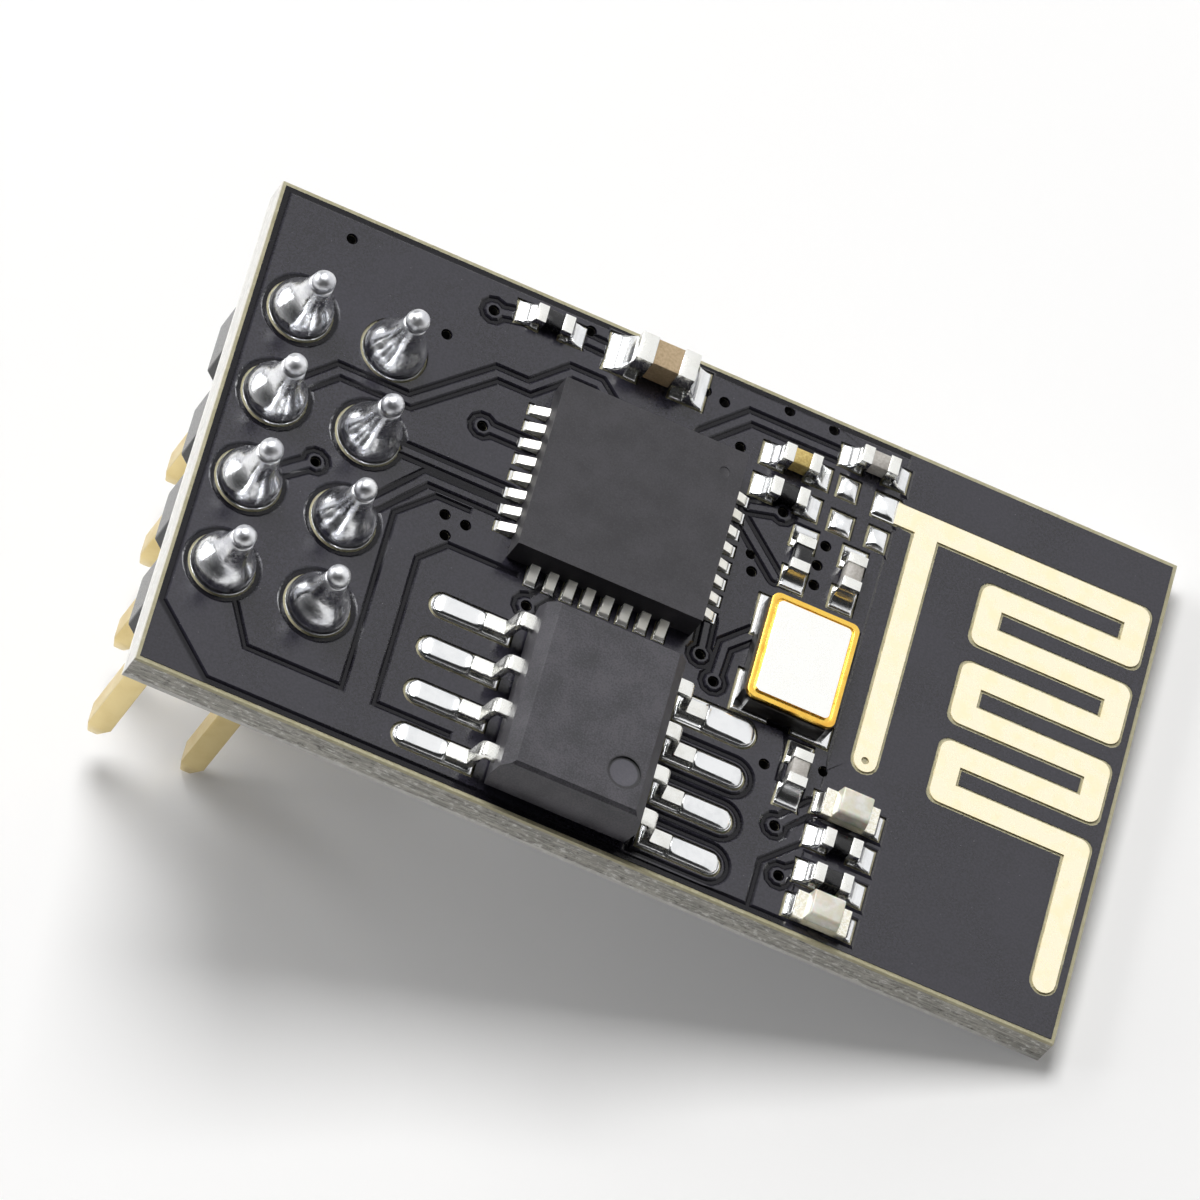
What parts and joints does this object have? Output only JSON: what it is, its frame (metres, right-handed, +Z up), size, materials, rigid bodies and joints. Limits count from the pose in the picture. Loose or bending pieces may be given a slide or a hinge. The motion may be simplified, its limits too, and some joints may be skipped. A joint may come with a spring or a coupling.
{
  "type": "wifi module",
  "caption": "Small wireless circuit board on a pin header, carrying a radio chip, flash memory, a crystal, chip passives, indicator lamps and a printed meander antenna.",
  "frame": {"origin": "centre of the bounding box at table level, with the loose module resting on its inner pin tips and its antenna end", "axes": "+Z up from the table; +X along the module from the header end towards the antenna end; +Y across the board, towards the side of the radio chip's large capacitor"},
  "size_m": [0.0254, 0.0142, 0.0117],
  "materials": {
    "laminate": "pale fibrous glass laminate, cut edges",
    "solder_mask": "satin charcoal solder mask",
    "gold_plate": "pale gold plating",
    "gold_rim": "bright gold plating",
    "header_plastic": "moulded black nylon",
    "chip_epoxy": "fine-grained dark moulding compound",
    "dark_ceramic": "dark fired ceramic",
    "lid_metal": "plated lid",
    "tan_ceramic": "tan fired ceramic",
    "pale_ceramic": "pale grey fired ceramic",
    "resistor_glaze": "black overglaze",
    "lamp_base": "plated pale laminate",
    "lamp_resin": "milky clear resin",
    "tinned_metal": "matte tin plating",
    "solder": "bright solder"
  },
  "bodies": {
    "root": {"circuit_board": "laminate", "solder_mask_top": "solder_mask", "solder_mask_bottom": "solder_mask", "antenna_track": "gold_plate", "solder_pads": "solder", "header_insulator": "header_plastic", "radio_chip_body": "chip_epoxy", "radio_chip_terminals": "tinned_metal", "radio_chip_solder": "solder", "flash_chip_body": "chip_epoxy", "flash_chip_solder": "solder", "crystal_base": "dark_ceramic", "crystal_rim": "gold_rim", "crystal_lid": "lid_metal", "capacitor_end_caps": "tinned_metal", "resistor_end_caps": "tinned_metal", "small_part_solder": "solder", "power_lamp_base": "lamp_base", "power_lamp_lens": "lamp_resin", "signal_lamp_base": "lamp_base", "signal_lamp_lens": "lamp_resin", "header_pin_1": "gold_plate", "header_pin_2": "gold_plate", "header_pin_3": "gold_plate", "header_pin_4": "gold_plate", "header_pin_5": "gold_plate", "header_pin_6": "gold_plate", "header_pin_7": "gold_plate", "header_pin_8": "gold_plate", "pin_solder_1": "solder", "pin_solder_2": "solder", "pin_solder_3": "solder", "pin_solder_4": "solder", "pin_solder_5": "solder", "pin_solder_6": "solder", "pin_solder_7": "solder", "pin_solder_8": "solder", "flash_lead_1": "tinned_metal", "flash_lead_2": "tinned_metal", "flash_lead_3": "tinned_metal", "flash_lead_4": "tinned_metal", "flash_lead_5": "tinned_metal", "flash_lead_6": "tinned_metal", "flash_lead_7": "tinned_metal", "flash_lead_8": "tinned_metal", "capacitor_1": "tan_ceramic", "capacitor_2": "tan_ceramic", "capacitor_3": "pale_ceramic", "capacitor_4": "pale_ceramic", "capacitor_5": "pale_ceramic", "resistor_1": "resistor_glaze", "resistor_2": "resistor_glaze", "resistor_3": "resistor_glaze", "resistor_4": "resistor_glaze", "resistor_5": "resistor_glaze"}
  },
  "joints": []
}
